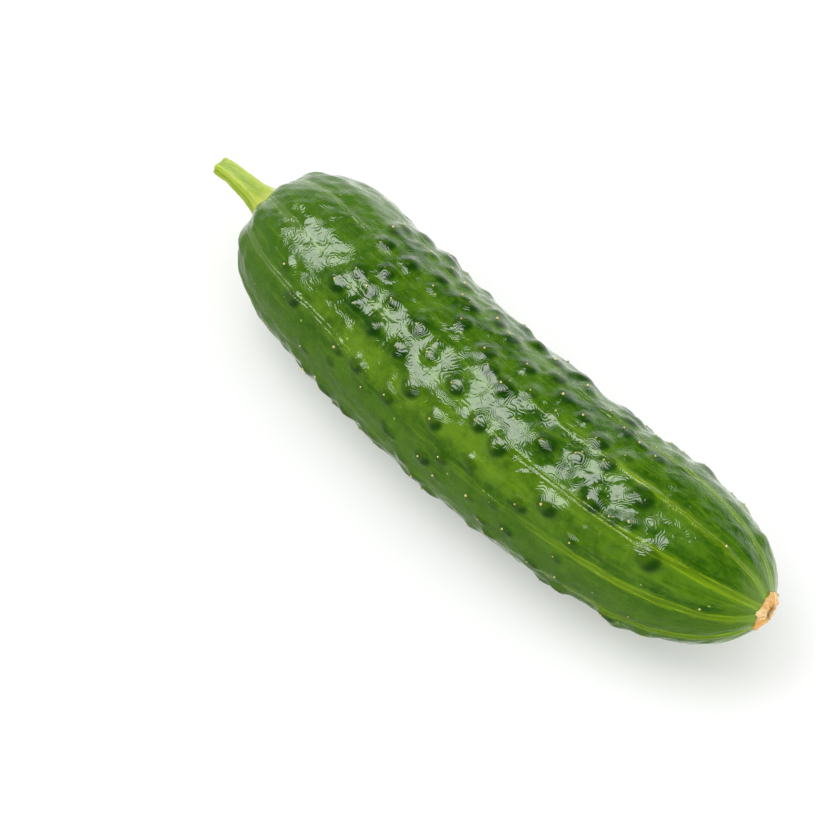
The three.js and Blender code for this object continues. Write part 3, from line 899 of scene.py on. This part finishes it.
# spines: small blunt cones, radius x sqrt(1 - level^2), all joined into one piece
def makeSpines(placed):
    s = spineForm
    base, normal, size = spineRoots(placed)
    count, scale = len(base), size[:, None, None, None]
    side = np.cross(normal, [0.3, 0.9, 0.31])
    side /= np.linalg.norm(side, axis=1, keepdims=True)
    other = np.cross(normal, side)
    level = np.linspace(0.0, 0.9, s["levels"])
    turn = np.arange(s["sides"]) * 2.0 * math.pi / s["sides"]
    ring = s["radius"] * np.sqrt(1.0 - level ** 2)
    rings = base[:, None, None] + normal[:, None, None] * (level * s["height"])[None, :, None, None] * scale
    flat = side[:, None, None] * np.cos(turn)[:, None] + other[:, None, None] * np.sin(turn)[:, None]
    rings = rings + flat * ring[None, :, None, None] * scale
    tips = base + normal * s["height"] * size[:, None]
    vertices = np.concatenate([rings.reshape(count, -1, 3), tips[:, None], base[:, None]], axis=1)
    quads, triangles = spineFaces(s["sides"], s["levels"])
    starts = np.arange(count)[:, None, None] * vertices.shape[1]
    allQuads = (quads[None] + starts).reshape(-1, 4)
    allTriangles = (triangles[None] + starts).reshape(-1, 3)
    piece = meshFrom("wartSpines", vertices.reshape(-1, 3) * mm, allQuads, allTriangles)
    piece.data.materials.append(makeSpineHorn())
    print("spines:", count)
    return piece


floorLook = {"halfSize": 1.3, "grey": 0.72, "glow": 0.34, "roughness": 0.6, "specular": 0.2}


def makeFloor():
    half, grey = floorLook["halfSize"], floorLook["grey"]
    corners = np.array([[-half, -half, 0], [half, -half, 0], [half, half, 0], [-half, half, 0]], float)
    floor = meshFrom("studioFloor", corners, np.array([[0, 1, 2, 3]]), np.zeros((0, 3), int))
    material, _, shader = newMaterial("paleFloor")
    shader.inputs["Base Color"].default_value = (grey, grey, grey, 1.0)
    shader.inputs["Emission Color"].default_value = (1.0, 1.0, 1.0, 1.0)
    shader.inputs["Emission Strength"].default_value = floorLook["glow"]
    shader.inputs["Roughness"].default_value = floorLook["roughness"]
    shader.inputs["Specular IOR Level"].default_value = floorLook["specular"]
    floor.data.materials.append(material)
    floor.visible_glossy = False  # the shine then shows only the softbox and the surroundings


# the camera's target in mm and its distance in metres; azimuth is turned from -Y towards +X
viewpoint = {
    "azimuth": 47.49, "elevation": 52.75, "distance": 1.0, "target": (-14.31, -19.89, 19.6),
    "focalShare": 5.484, "sensorWidth": 36.0,
}


def makeCamera(shift):
    v = viewpoint
    azimuth, elevation = math.radians(v["azimuth"]), math.radians(v["elevation"])
    back = Vector((math.sin(azimuth) * math.cos(elevation), -math.cos(azimuth) * math.cos(elevation),
                   math.sin(elevation)))
    right = Vector((math.cos(azimuth), math.sin(azimuth), 0.0))
    up = back.cross(right)
    data = bpy.data.cameras.new("camera")
    data.sensor_width = v["sensorWidth"]
    data.lens = v["sensorWidth"] * v["focalShare"]
    data.clip_start, data.clip_end = 0.05, 20.0
    camera = bpy.data.objects.new("camera", data)
    bpy.context.scene.collection.objects.link(camera)
    place = Matrix((right, up, back)).transposed().to_4x4()
    place.translation = Vector(np.array(v["target"]) * mm + shift) + back * v["distance"]
    camera.matrix_world = place
    bpy.context.scene.camera = camera


# lengths in metres, power in watts
studio = {
    "keyDirection": (-0.446, -0.228, 0.866), "keyDistance": 1.1,
    "keyLength": 0.85, "keyWidth": 0.8, "keyPower": 3.2,
    "shineDirection": (-0.37, -0.232, 0.9), "shineDistance": 1.0,
    "shineLength": 0.62, "shineWidth": 0.86, "shinePower": 21.0,
    "fillHeight": 2.0, "fillSize": 3.4, "fillPower": 42.0,
    "frontPlace": (0.45, -1.5, 0.7), "rightPlace": (1.5, 0.1, 0.7),
    "sideLength": 2.0, "sideWidth": 1.2, "sidePower": 8.0,
}


def addSoftbox(name, place, length, width, power, inShine, inShade):
    data = bpy.data.lights.new(name, "AREA")
    data.shape = "RECTANGLE"
    data.size, data.size_y = length, width
    data.energy = power
    light = bpy.data.objects.new(name, data)
    light.location = place
    light.rotation_euler = Vector(place).to_track_quat("Z", "Y").to_euler()  # it faces the object
    light.visible_glossy = inShine
    light.visible_diffuse = inShade
    bpy.context.scene.collection.objects.link(light)


# the key box lights the skin, a nearer one shows only in its shine; wide soft boxes make the shadows faint
def makeLights():
    s = studio
    keyPlace = np.array(s["keyDirection"]) * s["keyDistance"]
    addSoftbox("keySoftbox", keyPlace, s["keyLength"], s["keyWidth"], s["keyPower"], False, True)
    shinePlace = np.array(s["shineDirection"]) * s["shineDistance"]
    addSoftbox("shineSoftbox", shinePlace, s["shineLength"], s["shineWidth"], s["shinePower"], True, False)
    fillPlace = (0.0, 0.0, s["fillHeight"])
    addSoftbox("fillSoftbox", fillPlace, s["fillSize"], s["fillSize"], s["fillPower"], False, True)
    addSoftbox("frontSoftbox", s["frontPlace"], s["sideLength"], s["sideWidth"], s["sidePower"], False, True)
    addSoftbox("rightSoftbox", s["rightPlace"], s["sideLength"], s["sideWidth"], s["sidePower"], False, True)


surroundings = {
    "low": 1.55, "high": 0.05, "lowTo": 0.1, "highFrom": 0.6,
    "front": 0.17, "frontTo": -0.2, "backFrom": 0.45, "backdrop": 0.87,
}


# bright near the horizon and dark overhead, dimmer in front than behind; what the camera sees is even
def makeWorld():
    s = surroundings
    world = bpy.data.worlds.new("studio")
    bpy.context.scene.world = world
    world.use_nodes = True
    tree = world.node_tree
    around = addNode(tree, "ShaderNodeTexCoord").outputs["Generated"]
    direction = addNode(tree, "ShaderNodeSeparateXYZ", {0: around})
    strength = remap(tree, direction.outputs[2], s["lowTo"], s["highFrom"], s["low"], s["high"])
    farSide = remap(tree, direction.outputs[1], s["frontTo"], s["backFrom"], s["front"], 1.0)
    glow = times(tree, strength, farSide)
    seen = addNode(tree, "ShaderNodeLightPath").outputs["Is Camera Ray"]
    behind = times(tree, seen, maths(tree, "SUBTRACT", s["backdrop"], glow))
    background = tree.nodes["Background"]
    tree.links.new(plus(tree, glow, behind), background.inputs["Strength"])
    background.inputs["Color"].default_value = (1.0, 1.0, 1.0, 1.0)


fibres = fibreGroup()
specks = speckGroup()
fruit, placed = makeFruit(fibres, specks)
stalk = makeStalk(fibres, specks)
scar = makeScar(fibres, specks)
spines = makeSpines(placed)
shift = moveInto([fruit, stalk, scar, spines], fruit, *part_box("fruit"))

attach(fruit, "root")
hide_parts("fruit")
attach(stalk, "root")
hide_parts("stem")
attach(scar, "root")
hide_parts("blossom_scar")
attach(spines, "root")
print("pieces placed")

makeFloor()
makeCamera(shift)
makeLights()
makeWorld()
bpy.context.scene.view_settings.view_transform = "Standard"
print("studio ready")
